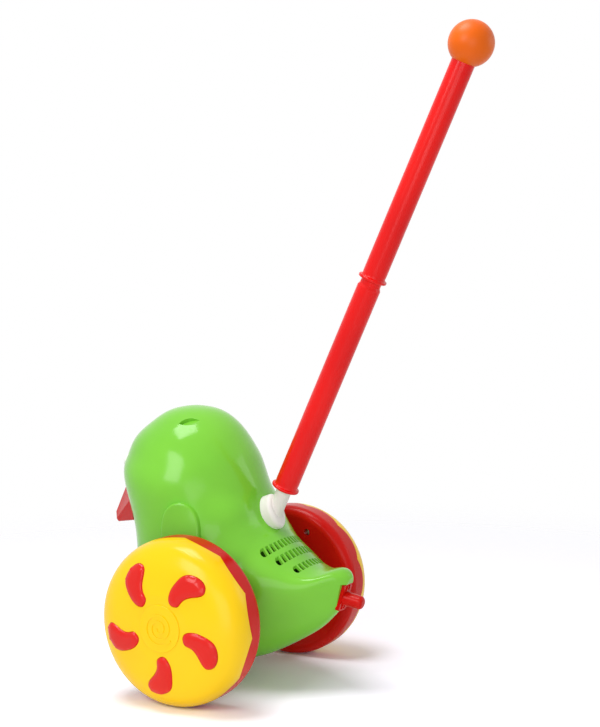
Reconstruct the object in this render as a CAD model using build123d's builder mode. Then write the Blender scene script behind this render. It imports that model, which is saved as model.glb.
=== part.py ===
from build123d import *
import os
from math import cos, degrees, pi, radians, sin, sqrt, tan

os.makedirs("parts", exist_ok=True)

# A push-along bird for a toddler. Two big domed wheels carry a moulded body with a tall round
# head, and a stick in two lengths with a ball on top leans back from it. While it is drawn, X
# points where the bird looks, Y to its left and Z up, from the floor under the middle of the
# axle. At the end every piece is moved so that the origin is on the floor under the middle of
# the whole toy. All lengths are in millimetres and all angles in degrees.

# Wheels
wheel_radius = 75.0
rim_plane = 98.0             # from the midplane to the widest circle of a wheel
dome_depth = 37.5            # how far the yellow dome stands out past that circle
dome_fullness = 3.4          # power of the dome's curve, where 2 is an ellipse
dome_steps = 6
wheel_wall = 2.2
wheel_inner_depth = 13.0     # from the rim plane to the wheel's inner face
inner_edge_round = 8.5
dish_depth = 4.5
dish_floor_radius = 22.0     # the inner face falls as a cone from its rim to this flat middle
seam_gap = 0.15
rim_lip = 1.6                # ring of the red half that steps inside the yellow cap
rim_lip_reach = 16.0
rim_lip_root = 7.0
rim_lip_draft = 0.7

# Wavy seam between the red half of a wheel and its yellow cap
scallop_count = 12
scallop_mid = 8.2            # from the rim plane to the middle of the wave
scallop_height = 5.0
scallop_turn = 20.0          # angle from X to the first crest
scallop_depth = 7.0          # how far the cut reaches in from the rim

# Hub of the yellow cap
hub_disc_radius = 20.9
hub_disc_raise = 1.0
hub_disc_round = 0.6
spiral_turns = 2.4
spiral_start = 2.2
spiral_pitch = 5.4
spiral_width = 1.7
spiral_raise = 0.7
spiral_steps = 10            # points per turn

# Petals, one outline turned about the hub, its points along and across the wheel's radius
petal_count = 5
petal_reach = 60.5           # radius of the petals' outer tips
petal_outline_shares = [
    (0.240, 0.350), (0.308, 0.280), (0.440, 0.318), (0.562, 0.452), (0.632, 0.625),
    (0.580, 0.772), (0.490, 0.860), (0.385, 0.890), (0.305, 0.850), (0.292, 0.740),
    (0.308, 0.610), (0.280, 0.485), (0.232, 0.405),
]
petal_proud = 2.6
petal_round = 1.6
petal_gap = 0.15
petal_plate = 1.6
petal_plate_radius = 34.0
petal_plate_margin = 2.4
stake_circle = 17.0
stake_radius = 1.2
stake_head_radius = 2.2
stake_head_height = 0.8

# Screws of the wheels, in wells between the petals
wheel_screw_circle = 55.5
wheel_screw_turn = 93.0
well_radius = 3.5
well_depth = 7.0
well_wall = 1.6
well_floor = 2.0
post_radius = 4.2
post_gap = 0.3
screw_head_radius = 3.1
screw_head_height = 2.0
screw_shank_radius = 1.5
screw_slot = 0.9
screw_bite = 12.0            # how far a screw goes into its post
shank_gap = 0.2

# Axle and what runs on it
axle_radius = 3.0
axle_past_rim = 22.0
axle_chamfer = 0.8
press_gap = 0.02
running_gap = 0.10
face_gap = 0.3
hub_tube_radius = 9.0
hub_tube_past_rim = 14.0
bush_radius = 5.5
bush_length = 12.0
bush_flange_radius = 8.5
bush_flange = 1.5
axle_boss_wall = 3.0
axle_boss_reach = 24.0       # how far the boss runs into the body from its outer end
wheel_room = 5.2             # from the axle boss, past the bush flange, to the wheel's inner face
push_nut_radius = 7.0
push_nut_thick = 1.4
nut_guard_gap = 0.6
nut_guard_wall = 1.6
wheel_phase = 44.0           # the right wheel stands turned on by this much

# Body. Each row is one slice of the form, from the tail over the back and breast to the crown:
# where its back edge and front edge lie as shares of the reach and the height, its half width
# as a share of the greatest one, where along the slice it is widest, the fullness of its back
# and front, and how much of a wall is taken upwards there and not sideways.
body_reach = 118.0           # from the axle to the tail, and to the breast
body_height = 256.2
body_half_width = 71.5
body_wall = 2.4
slice_steps = 16
slice_shares = [
    (-1.000, 0.412, -0.881, 0.285, 0.105, 0.42, 2.2, 2.2, 0.0),
    (-0.962, 0.436, -0.839, 0.265, 0.182, 0.24, 2.0, 2.1, 0.0),
    (-0.898, 0.442, -0.771, 0.234, 0.252, 0.16, 2.0, 2.1, 0.0),
    (-0.805, 0.434, -0.644, 0.191, 0.364, 0.13, 1.85, 2.1, 0.0),
    (-0.703, 0.436, -0.483, 0.148, 0.476, 0.14, 1.8, 2.1, 0.0),
    (-0.576, 0.472, -0.271, 0.100, 0.640, 0.21, 1.8, 2.2, 0.0),
    (-0.449, 0.521, 0.017, 0.066, 0.775, 0.25, 1.8, 2.3, 0.0),
    (-0.347, 0.562, 0.356, 0.074, 0.909, 0.28, 1.85, 2.4, 0.0),
    (-0.288, 0.595, 0.665, 0.156, 0.979, 0.34, 2.1, 2.3, 0.0),
    (-0.253, 0.626, 0.836, 0.293, 1.000, 0.42, 2.3, 2.2, 0.0),
    (-0.227, 0.660, 0.871, 0.461, 0.986, 0.47, 2.3, 2.05, 0.0),
    (-0.203, 0.695, 0.938, 0.625, 0.979, 0.49, 2.0, 2.0, 0.0),
    (-0.174, 0.734, 1.000, 0.734, 0.979, 0.50, 1.9, 2.0, 0.0),
    (-0.131, 0.781, 1.004, 0.781, 0.934, 0.50, 2.0, 2.0, 0.20),
    (-0.072, 0.839, 0.958, 0.839, 0.853, 0.50, 2.0, 2.0, 0.41),
    (0.008, 0.898, 0.883, 0.898, 0.727, 0.50, 2.0, 2.0, 0.63),
    (0.102, 0.948, 0.754, 0.948, 0.545, 0.50, 2.0, 2.0, 0.81),
    (0.220, 0.983, 0.627, 0.983, 0.343, 0.50, 2.0, 2.0, 0.94),
    (0.304, 0.9945, 0.538, 0.9945, 0.196, 0.50, 2.0, 2.0, 0.98),
    (0.370, 0.9990, 0.470, 0.9990, 0.084, 0.50, 2.0, 2.0, 1.00),
    (0.403, 1.000, 0.437, 1.000, 0.028, 0.50, 2.0, 2.0, 1.00),
]
tail_solid_rows = 2          # slices at the tail that the hollow stops short of

# Wings, raised on the sides above the wheels
wing_raise = 4.5
wing_round = 1.8
wing_length = 92.0
wing_width = 38.0
wing_top_share = (0.203, 0.677)    # where the wing's top lies along the reach and the height
wing_outline_shares = [
    (0.00, 0.00), (0.20, -0.03), (0.35, -0.11), (0.42, -0.24), (0.41, -0.45), (0.29, -0.72),
    (0.02, -0.95), (-0.24, -0.97), (-0.46, -0.76), (-0.59, -0.45), (-0.57, -0.26), (-0.46, -0.12),
    (-0.26, -0.03),
]

# Vents on the back over the sound box: three curved slots about the head, crossed by upright ribs
vent_ring_shares = [0.857, 0.948, 1.051]    # distance of each slot from the middle of the head
vent_level_shares = [0.518, 0.480, 0.446]   # height of each slot where it crosses the midplane
vent_half_angles = [22.3, 17.4, 12.1]
vent_width = 6.6
vent_rib = 2.0
vent_rib_turn = 3.0
vent_end_turn = 3.6          # from the end of a slot to its first rib
vent_reach = 12.0

# Crown recess, a shallow almond on the left of the head
recess_share = (0.29, 0.48, 0.955)
recess_length = 20.0
recess_width = 9.0
recess_depth = 3.0
recess_lean = 31.0
recess_pitch = 12.0

# Screws and pegs that hold the body's halves together, as shares of the reach and the height
body_screw_shares = [(-0.43, 0.215), (0.11, 0.145), (0.745, 0.33)]
body_peg_shares = [(-0.02, 0.79), (0.84, 0.80)]
body_boss_radius = 4.6
body_well_radius = 3.6
body_well_floor = 14.0       # from the midplane to the seat of the screw's head
body_screw_bite = 14.0
body_peg_radius = 2.2
body_peg_length = 6.0

# Beak
beak_root = 110.0            # from the axle to the beak's hidden root
beak_reach = 144.8
beak_top = 212.0
beak_bottom = 143.2
beak_half_width = 24.0
beak_tip_top = 146.4
beak_tip_height = 9.2
beak_tip_slant = 28.0        # the blunt tip leans back towards its foot
beak_tip_half_width = 5.0
beak_round = 1.6
beak_outline_shares = [(0.26, 1.0), (1.0, 0.32), (0.84, 0.0)]
beak_peg_width = 16.0
beak_peg_height = 12.0
beak_peg_length = 12.0
peg_gap = 0.1

# Eyes
eye_radius = 8.0
eye_seat = 64.0
eye_proud = 1.6
eye_round = 1.2
eye_turn = 22.0
eye_rise = 16.0
eye_peg_radius = 2.5
eye_peg_length = 7.0
head_center_share = (0.415, 0.726)
head_radius = 68.2

# Stick and its socket, measured up the stick from where its axis meets the bird's back
stick_lean = 25.2
stick_foot_share = (-0.288, 0.592)
stem_radius = 7.1
stem_depth = 44.0
stem_groove = 1.6
stem_groove_from = 18.0
stem_groove_length = 6.0
sleeve_wall = 2.6
sleeve_floor = 3.0
flange_length = 33.5
flange_width = 25.0
flange_tilt = 70.0
flange_rise = 10.0            # how far its face stands out, square to itself, from the stick's foot
flange_sink = 5.0
flange_round = 3.8
flange_up = 6.7              # from the stick's foot up to its middle
tube_start = 34.0
tube_length = 207.5
upper_length = 207.4
tube_step = 2.5
tube_bottom_radius = 11.05
tube_top_radius = 10.55
tube_wall = 1.5
tube_lip_radius = 13.1
tube_lip_height = 2.6
tube_flare = 5.0
tube_lip_round = 0.9
spigot_length = 28.0
spigot_gap = 0.05
spigot_chamfer = 1.0
joint_gap = 5.0              # the neck that shows between the two lengths of the stick
ball_radius = 20.0
ball_sink = 3.8              # how far the stick goes into the ball before its shoulder
ball_wall = 2.4
plug_length = 16.0

# Hitch on the tail
hitch_place_share = (-0.942, 0.340)    # middle of the plate along the reach and the height
hitch_tilt = 16.2            # how far the plate's foot is turned forward
hitch_height = 26.4
hitch_width = 15.0
hitch_thick = 5.4
hitch_corner = 3.0
hitch_ridge = 1.0
hitch_ridge_length = 4.6
hitch_proud = 3.0            # how far the plate stands out of the tail's seat
hitch_ridge_apart = 4.4
hitch_ridge_place = 9.3      # from the middle of the plate up and down to the ridges
stub_radius = 6.7
stub_end_radius = 6.1
stub_length = 18.2
stub_tilt = 9.1
stub_drop = 1.3              # how far below the middle of the plate the stub sits
stub_round = 3.6
hitch_root_radius = 3.6
hitch_root_length = 14.0
hitch_head_radius = 5.4
hitch_head_length = 3.0

# Small roller under the breast, between two cheeks of the body
roller_place = 62.0
roller_radius = 16.0
roller_half_width = 12.5
roller_groove = 1.2
roller_edge = 2.0
roller_pin_radius = 2.2
roller_room = 4.0
cheek_gap = 0.4
cheek_thick = 4.0
cheek_radius = 7.5
pin_head_radius = 3.8
pin_head_height = 1.4

# Weight in the breast
weight_place = (64.0, 64.0)
weight_radius = 13.0
weight_half_length = 32.0
cup_wall = 2.2
cup_overlap = 18.0

# Clicker on the axle, under the vents
star_teeth = 10
star_radius = 17.0
star_root_radius = 12.5
star_inner = 10.0            # from the midplane to the star's nearer face
star_thick = 8.0
star_hub_radius = 7.0
star_hub_length = 4.0
reed_gap = 0.5
reed_thick = 1.4
reed_past_axle = 3.0
reed_base_place = -40.0
reed_base_length = 13.0
reed_base_height = 11.0
reed_screw_bite = 10.0
reed_boss_radius = 5.2

overrun = 5.0                # how far cutting shapes run past what they cut

axle_point = (0, 0, wheel_radius)
axle_line = Axis(axle_point, (0, 1, 0))
inner_face = rim_plane - wheel_inner_depth
boss_face = inner_face - wheel_room
hub_start = boss_face + bush_flange + face_gap


def side_plane(x, z, y, side=1):
    """A plane square to Y at the point x, y, z, facing away from the midplane."""
    return Plane(origin=(x, side * y, z), x_dir=(1, 0, 0), z_dir=(0, side, 0))


def along_y(x, z, radius, start, end, side=1):
    """A round bar along Y between two distances from the midplane."""
    with BuildPart() as bar:
        with BuildSketch(side_plane(x, z, start, side)):
            Circle(radius)
        extrude(amount=end - start)
    return bar.part


def dome_curve(inset):
    """Points of the dome's section, from the rim to the middle of the hub."""
    power = 2 / dome_fullness
    points = []
    for step in range(dome_steps + 1):
        turn = pi / 2 * step / dome_steps
        out = (wheel_radius - inset) * max(cos(turn), 0) ** power
        up = rim_plane + (dome_depth - inset) * sin(turn) ** power
        points.append((out if step < dome_steps else 0, up))
    return points


def wheel_form(inset):
    """A whole wheel as one turned solid, or the same with every wall set in by inset."""
    face = inner_face + inset
    edge = wheel_radius - inset
    rounding = inner_edge_round - inset
    floor = face + dish_depth
    with BuildPart() as form:
        with BuildSketch(Plane.XY.offset(wheel_radius)):
            with BuildLine():
                dome = Spline(*dome_curve(inset), tangents=[(0, 1), (-1, 0)])
                Polyline(dome @ 1, (0, floor), (dish_floor_radius, floor), (edge - rounding, face))
                RadiusArc((edge - rounding, face), (edge, face + rounding), -rounding)
                Line((edge, face + rounding), dome @ 0)
            make_face()
        revolve(axis=axle_line)
    return form.part


def dome_form(inset):
    """All that lies under a wheel's dome, down to the rim plane, or the same set in by inset."""
    with BuildPart() as form:
        with BuildSketch(Plane.XY.offset(wheel_radius)):
            with BuildLine():
                dome = Spline(*dome_curve(inset), tangents=[(0, 1), (-1, 0)])
                Polyline(dome @ 1, (0, rim_plane), dome @ 0)
            make_face()
        revolve(axis=axle_line)
    return form.part


def seam_form(gap):
    """All that lies on the red side of the wavy seam."""
    half_turn = pi / scallop_count
    half_chord = wheel_radius * tan(half_turn)
    arc = (half_chord ** 2 + scallop_height ** 2) / (2 * scallop_height)
    crest = rim_plane + scallop_mid + scallop_height / 2
    start = inner_face - overrun
    far = wheel_radius + overrun
    with BuildPart() as form:
        with BuildSketch(side_plane(0, wheel_radius, start)):
            Circle(wheel_radius - scallop_depth)
        extrude(amount=crest - start)
        for k in range(scallop_count):
            turn = radians(scallop_turn + 360 * k / scallop_count)
            out = Vector(cos(turn), 0, sin(turn))
            with BuildPart(mode=Mode.PRIVATE) as lobe:
                with BuildSketch(Plane(origin=(0, crest - arc, wheel_radius), x_dir=(0, 1, 0), z_dir=out)):
                    Circle(arc + gap)
                extrude(amount=far)
                with BuildSketch(Plane(origin=(0, start, wheel_radius), x_dir=out, z_dir=(0, 1, 0))):
                    edge = 2 * far
                    Polygon((0, 0), (edge, -edge * tan(half_turn)), (edge, edge * tan(half_turn)), align=None)
                extrude(amount=crest + overrun - start, mode=Mode.INTERSECT)
            add(lobe.part)
    return form.part


def petal_face(turn, growth):
    """One petal's outline, pushed outwards by growth, as a face square to the axle."""
    outline = [Vector(a * petal_reach, b * petal_reach) for a, b in petal_outline_shares]
    points = []
    for before, point, after in zip(outline[-1:] + outline, outline, outline[1:] + outline[:1]):
        along = (after - before).normalized()
        points.append(point + Vector(along.Y, -along.X) * growth)
    with BuildSketch(Plane(origin=axle_point, x_dir=(cos(turn), 0, sin(turn)), z_dir=(0, -1, 0))) as face:
        with BuildLine():
            Spline(*points, periodic=True)
        make_face()
    return face.sketch


def petals(growth, start, end):
    """Five bars of the petals' outline between two distances from the midplane."""
    with BuildPart() as bars:
        for k in range(petal_count):
            add(extrude(petal_face(2 * pi * k / petal_count, growth), amount=-end, mode=Mode.PRIVATE))
        with BuildSketch(side_plane(0, wheel_radius, 0)):
            Circle(wheel_radius)
        extrude(amount=start, mode=Mode.SUBTRACT)
    return bars.part


def wheel_screw_places():
    """The five places about the hub where a wheel is screwed together, as x and z."""
    turns = [radians(wheel_screw_turn + 360 * k / petal_count) for k in range(petal_count)]
    return [(wheel_screw_circle * cos(t), wheel_radius + wheel_screw_circle * sin(t)) for t in turns]


def stake_places():
    """The five places about the hub where the petals' plate is held, as x and z."""
    turns = [radians(wheel_screw_turn + 360 * k / petal_count) for k in range(petal_count)]
    return [(stake_circle * cos(t), wheel_radius + stake_circle * sin(t)) for t in turns]


cone_width = wheel_radius - inner_edge_round - dish_floor_radius
cone_share = (wheel_radius - inner_edge_round - wheel_screw_circle) / cone_width
well_mouth = inner_face + dish_depth * cone_share
well_seat = well_mouth + well_depth
post_start = well_seat + well_floor + post_gap
hub_end = rim_plane + hub_tube_past_rim
dome_top = rim_plane + dome_depth
wheel_outer = wheel_form(0)
wheel_hollow = wheel_form(wheel_wall)

# Red half of a wheel: rim, dished inner face, hub tube and screw wells
with BuildPart() as wheel_inner:
    add(wheel_outer)
    add(wheel_hollow, mode=Mode.SUBTRACT)
    add(seam_form(0), mode=Mode.INTERSECT)
    with BuildPart(mode=Mode.PRIVATE) as lip:
        start = inner_face + inner_edge_round
        root = wheel_radius - wheel_wall
        add(along_y(0, wheel_radius, root + seam_gap, start, start + rim_lip_root))
        add(along_y(0, wheel_radius, root - rim_lip_draft, start, start + rim_lip_reach))
        inside = root - rim_lip_draft - rim_lip
        add(along_y(0, wheel_radius, inside, start - overrun, start + rim_lip_reach), mode=Mode.SUBTRACT)
    add(lip.part)
    add(along_y(0, wheel_radius, hub_tube_radius, hub_start, hub_end))
    for x, z in wheel_screw_places():
        add(along_y(x, z, well_radius + well_wall, well_mouth + wheel_wall / 2, well_seat + well_floor))
    for x, z in wheel_screw_places():
        add(along_y(x, z, well_radius, inner_face - overrun, well_seat), mode=Mode.SUBTRACT)
        add(along_y(x, z, screw_shank_radius + shank_gap, well_seat, post_start), mode=Mode.SUBTRACT)
    add(along_y(0, wheel_radius, axle_radius + press_gap, 0, dome_top), mode=Mode.SUBTRACT)


def spiral_face(plane):
    """A flat spiral band for the middle of the hub."""
    inner = []
    outer = []
    for step in range(int(spiral_turns * spiral_steps) + 1):
        turn = 2 * pi * step / spiral_steps
        radius = spiral_start + spiral_pitch * step / spiral_steps
        inner.append(((radius - spiral_width / 2) * cos(turn), (radius - spiral_width / 2) * sin(turn)))
        outer.append(((radius + spiral_width / 2) * cos(turn), (radius + spiral_width / 2) * sin(turn)))
    with BuildSketch(plane) as band:
        with BuildLine():
            one = Spline(*inner)
            two = Spline(*outer)
            Line(one @ 0, two @ 0)
            Line(one @ 1, two @ 1)
        make_face()
    return band.sketch


def dome_height(radius, inset):
    """How far from the midplane the dome lies at some distance from the axle."""
    share = 1 - (radius / (wheel_radius - inset)) ** dome_fullness
    return rim_plane + (dome_depth - inset) * share ** (1 / dome_fullness)


# What stands inside the yellow cap: nut guard, screw posts and the stakes that hold the petals
plate_seat = dome_top - wheel_wall - seam_gap
stake_foot = plate_seat - petal_plate
guard_radius = push_nut_radius + nut_guard_gap
with BuildPart() as cap_inside:
    with BuildSketch(side_plane(0, wheel_radius, hub_end)):
        Circle(guard_radius + nut_guard_wall)
        Circle(guard_radius, mode=Mode.SUBTRACT)
    extrude(amount=dome_top - wheel_wall / 2 - hub_end)
    for x, z in wheel_screw_places():
        post_end = dome_height(wheel_screw_circle + post_radius, wheel_wall / 2)
        add(along_y(x, z, post_radius, post_start, post_end))
        hole_end = post_start + screw_bite + face_gap
        add(along_y(x, z, screw_shank_radius + press_gap, post_start, hole_end), mode=Mode.SUBTRACT)
    for x, z in stake_places():
        add(along_y(x, z, stake_radius, stake_foot, dome_top - wheel_wall / 2))
        add(along_y(x, z, stake_head_radius, stake_foot - stake_head_height, stake_foot))

# Yellow cap: domed skin with a wavy edge, petal windows and a raised hub disc with a spiral
with BuildPart() as wheel_cap:
    add(dome_form(0))
    with BuildSketch(side_plane(0, wheel_radius, dome_top - hub_disc_raise)):
        Circle(hub_disc_radius)
    extrude(amount=2 * hub_disc_raise)
    top_rim = wheel_cap.edges().filter_by(GeomType.CIRCLE).group_by(Axis.Y)[-1]
    fillet(top_rim, hub_disc_round)
    add(dome_form(wheel_wall), mode=Mode.SUBTRACT)
    add(seam_form(seam_gap), mode=Mode.SUBTRACT)
    add(petals(petal_gap, hub_end, dome_top + overrun), mode=Mode.SUBTRACT)
    add(cap_inside.part)
    disc_top = side_plane(0, wheel_radius, dome_top + hub_disc_raise - hub_disc_round)
    add(extrude(spiral_face(disc_top), amount=hub_disc_round + spiral_raise, mode=Mode.PRIVATE))

# Everything that is cut from the petals' plate: the room below it, the guard's and the stakes' holes
with BuildPart() as plate_cuts:
    add(dome_form(wheel_wall + seam_gap + petal_plate))
    add(along_y(0, wheel_radius, guard_radius + nut_guard_wall + face_gap, hub_end, dome_top))
    for x, z in stake_places():
        add(along_y(x, z, stake_radius + peg_gap, hub_end, dome_top))

# Red plate behind the cap, whose five petals stand out through the windows
with BuildPart() as petal_insert:
    add(dome_form(-petal_proud))
    add(petals(0, hub_end, dome_top + overrun), mode=Mode.INTERSECT)
    rims = petal_insert.edges().filter_by(lambda edge: edge.center().Y > hub_end + dome_depth / 2)
    fillet(rims, petal_round)
    with BuildPart(mode=Mode.PRIVATE) as plate:
        with BuildSketch(side_plane(0, wheel_radius, hub_end)):
            Circle(petal_plate_radius)
        extrude(amount=dome_depth)
        add(petals(petal_plate_margin, hub_end, dome_top + overrun))
        add(dome_form(wheel_wall + seam_gap), mode=Mode.INTERSECT)
    add(plate.part)
    add(plate_cuts.part, mode=Mode.SUBTRACT)

# Screws of one wheel, all in one group
with BuildPart() as wheel_screws:
    for x, z in wheel_screw_places():
        add(along_y(x, z, screw_head_radius, well_seat - screw_head_height, well_seat))
        add(along_y(x, z, screw_shank_radius, well_seat - screw_head_height / 2, post_start + screw_bite))
        with BuildSketch(side_plane(x, z, well_seat - screw_head_height)):
            Rectangle(screw_slot, screw_head_radius)
            Rectangle(screw_head_radius, screw_slot)
        extrude(amount=screw_head_height / 2, mode=Mode.SUBTRACT)

# Steel axle with chamfered ends
axle_end = rim_plane + axle_past_rim
with BuildPart() as axle:
    with BuildSketch(side_plane(0, wheel_radius, -axle_end)):
        Circle(axle_radius)
    extrude(amount=2 * axle_end)
    chamfer(axle.edges(), axle_chamfer)

# Spring nuts pushed on the ends of the axle, both in one group
with BuildPart() as push_nuts:
    for side in (1, -1):
        add(along_y(0, wheel_radius, push_nut_radius, hub_end, hub_end + push_nut_thick, side))
        add(along_y(0, wheel_radius, push_nut_radius / 2, hub_end, hub_end + 2 * push_nut_thick, side))
    with BuildSketch(side_plane(0, wheel_radius, -axle_end)):
        Circle(axle_radius + press_gap)
    extrude(amount=2 * axle_end, mode=Mode.SUBTRACT)

# Bush in the left side of the body: a sleeve with a flange that the wheel's hub runs against
with BuildPart() as axle_bush_left:
    add(along_y(0, wheel_radius, bush_radius, boss_face - bush_length, boss_face))
    add(along_y(0, wheel_radius, bush_flange_radius, boss_face, boss_face + bush_flange))
    bush_start = boss_face - bush_length
    add(along_y(0, wheel_radius, axle_radius + running_gap, bush_start, hub_start), mode=Mode.SUBTRACT)


def upright(y):
    """A plane square to Y whose own coordinates are the X and Z of the toy; it faces the right."""
    return Plane(origin=(0, y, 0), x_dir=(1, 0, 0), z_dir=(0, -1, 0))


def place(share):
    """X and Z of a point given as shares of the body's reach and height."""
    return (share[0] * body_reach, share[1] * body_height)


# Toothed star pressed on the axle, which works the clicker
star_end = star_inner + star_thick
with BuildPart() as click_star:
    with BuildSketch(upright(star_end)):
        with Locations((0, wheel_radius)):
            Circle(star_root_radius)
        for k in range(star_teeth):
            spread = pi / star_teeth
            turn = 2 * spread * k
            root = star_root_radius
            corners = [(root, turn - spread), (star_radius, turn), (root, turn + spread)]
            tooth = [(r * cos(t), wheel_radius + r * sin(t)) for r, t in corners]
            Polygon((0, wheel_radius), *tooth, align=None)
    extrude(amount=star_thick)
    add(along_y(0, wheel_radius, star_hub_radius, star_inner - star_hub_length, star_inner))
    add(along_y(0, wheel_radius, axle_radius + press_gap, 0, star_end), mode=Mode.SUBTRACT)

# Springy reed beside the star's teeth, with a foot that is screwed to the left half of the body
reed_z = wheel_radius + reed_past_axle
reed_tip = -(star_radius + reed_gap)
with BuildPart() as click_reed:
    with BuildSketch(upright(star_end)):
        with Locations((reed_base_place, wheel_radius)):
            Rectangle(reed_base_length, reed_base_height)
    extrude(amount=star_thick)
    with BuildSketch(upright(star_end)):
        with Locations(((reed_base_place + reed_tip) / 2, reed_z)):
            Rectangle(reed_tip - reed_base_place, reed_thick)
    extrude(amount=star_thick)
    screw_hole = along_y(reed_base_place, wheel_radius, screw_shank_radius + shank_gap, 0, star_end)
    add(screw_hole, mode=Mode.SUBTRACT)


def screw(x, z, seat, bite, side=1):
    """A pan head screw along Y whose head rests on a seat and faces away from the midplane."""
    with BuildPart() as piece:
        add(along_y(x, z, screw_head_radius, seat, seat + screw_head_height, side))
        add(along_y(x, z, screw_shank_radius, seat - bite, seat, side))
        with BuildSketch(side_plane(x, z, seat + screw_head_height, side)):
            Rectangle(screw_slot, screw_head_radius)
            Rectangle(screw_head_radius, screw_slot)
        extrude(amount=-screw_head_height / 2, mode=Mode.SUBTRACT)
    return piece.part


# Screw of the reed, which faces the midplane
with BuildPart() as reed_screw:
    add(screw(reed_base_place, wheel_radius, -star_inner, star_thick + reed_screw_bite, -1))


def bird_form(inset, start=0):
    """The body's outer form from one of its slices to the crown, set in by inset."""
    with BuildPart() as form:
        for row in slice_shares[start:]:
            xb, zb, xf, zf, half_width, widest, full_back, full_front, lift = row
            sideways = inset * sqrt(1 - lift ** 2)
            rise = Vector(0, 0, -inset * lift)
            back = Vector(xb * body_reach, 0, zb * body_height) + rise
            front = Vector(xf * body_reach, 0, zf * body_height) + rise
            along = (front - back).normalized()
            back = back + along * sideways
            length = (front - back).length - sideways
            half = half_width * body_half_width - sideways
            points = []
            for step in range(slice_steps):
                turn = 2 * pi * step / slice_steps
                c = cos(turn)
                s = sin(turn)
                full = full_front if c >= 0 else full_back
                out = abs(c) ** (2 / full)
                place_along = widest + (1 - widest) * out if c >= 0 else widest - widest * out
                points.append((place_along * length, abs(s) ** (2 / full) * half * (1 if s >= 0 else -1)))
            with BuildSketch(Plane(origin=back, x_dir=along, z_dir=along.cross(Vector(0, 1, 0)))):
                with BuildLine():
                    Spline(*points, periodic=True)
                make_face()
        loft()
    return form.part


bird_outer = bird_form(0)
bird_hollow = bird_form(body_wall, tail_solid_rows)

# The stick's axis, and a plane through it whose Y runs up the stick
foot_x, foot_z = place(stick_foot_share)
lean = radians(stick_lean)
stick_foot = Vector(foot_x, 0, foot_z)
stick_up = Vector(-sin(lean), 0, cos(lean))
stick_plane = Plane(origin=stick_foot, x_dir=(cos(lean), 0, sin(lean)), z_dir=(0, -1, 0))
stick_axis = Axis(stick_foot, stick_up)


def turned(points):
    """A solid turned about the stick's axis from points given as radius and distance up it."""
    with BuildPart() as piece:
        with BuildSketch(stick_plane):
            Polygon(*points, align=None)
        revolve(axis=stick_axis)
    return piece.part


def flange_prism(growth, start, end):
    """An oval block on the bird's back under the stick, square to the flange."""
    tilt = radians(flange_tilt)
    out = Vector(-sin(tilt), 0, cos(tilt))
    center = stick_foot + Vector(cos(tilt), 0, sin(tilt)) * flange_up
    with BuildPart() as block:
        with BuildSketch(Plane(origin=center + out * start, x_dir=(0, 1, 0), z_dir=out)):
            Ellipse(flange_width / 2 + growth, flange_length / 2 + growth)
        extrude(amount=end - start)
    return block.part


# White socket: a stem held inside the body, an oval flange, a neck and the stick's spigot
spigot_radius = tube_bottom_radius - tube_wall - spigot_gap
spigot_end = tube_start + spigot_length
groove_low = -stem_groove_from - stem_groove_length
groove_radius = stem_radius - stem_groove
with BuildPart() as handle_socket:
    add(flange_prism(0, -flange_sink, flange_rise))
    tilt = radians(flange_tilt)
    face = handle_socket.faces().sort_by(Axis(stick_foot, (-sin(tilt), 0, cos(tilt))))[-1]
    fillet(face.edges(), flange_round)
    add(turned([
        (0, -stem_depth), (stem_radius, -stem_depth), (stem_radius, groove_low), (groove_radius, groove_low),
        (groove_radius, -stem_groove_from), (stem_radius, -stem_groove_from),
        (stem_radius, tube_start - tube_lip_height),
        (spigot_radius, tube_start), (spigot_radius, spigot_end - spigot_chamfer),
        (spigot_radius - spigot_chamfer, spigot_end), (0, spigot_end),
    ]))


def tube(start, length, open_end):
    """One length of the stick with a flared lip at its foot, hollow, and a spigot unless open."""
    end = start + length
    middle_radius = (tube_bottom_radius + tube_top_radius) / 2
    base = middle_radius if open_end else tube_bottom_radius
    top = tube_top_radius if open_end else middle_radius
    bore = spigot_radius + spigot_gap
    core = bore - tube_wall
    stop = start + spigot_length
    brim = tube_lip_radius - tube_lip_round
    brim_low = start + tube_lip_round
    brim_high = start + tube_lip_height - tube_lip_round
    lip_end = start + tube_lip_height
    flare_end = lip_end + tube_flare
    with BuildPart() as piece:
        with BuildSketch(stick_plane):
            with BuildLine():
                Line((bore, start), (brim, start))
                RadiusArc((brim, start), (tube_lip_radius, brim_low), -tube_lip_round)
                Line((tube_lip_radius, brim_low), (tube_lip_radius, brim_high))
                RadiusArc((tube_lip_radius, brim_high), (brim, lip_end), -tube_lip_round)
                Spline((brim, lip_end), (base, flare_end), tangents=[(-1, 0), (0, 1)])
                if open_end:
                    Polyline(
                        (base, flare_end), (top, end), (core, end), (core, stop), (bore, stop), (bore, start),
                    )
                else:
                    tip = end + joint_gap + spigot_length
                    inside = spigot_radius - tube_wall
                    step_back = end - tube_step
                    Polyline(
                        (base, flare_end), (top, step_back), (spigot_radius, end),
                        (spigot_radius, tip - spigot_chamfer), (spigot_radius - spigot_chamfer, tip),
                        (inside, tip), (inside, end), (core, step_back), (core, stop), (bore, stop),
                        (bore, start),
                    )
            make_face()
        revolve(axis=stick_axis)
    return piece.part


# Lower and upper length of the stick
upper_start = tube_start + tube_length + joint_gap
with BuildPart() as lower_tube:
    add(tube(tube_start, tube_length, False))
with BuildPart() as upper_tube:
    add(tube(upper_start, upper_length, True))

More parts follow.
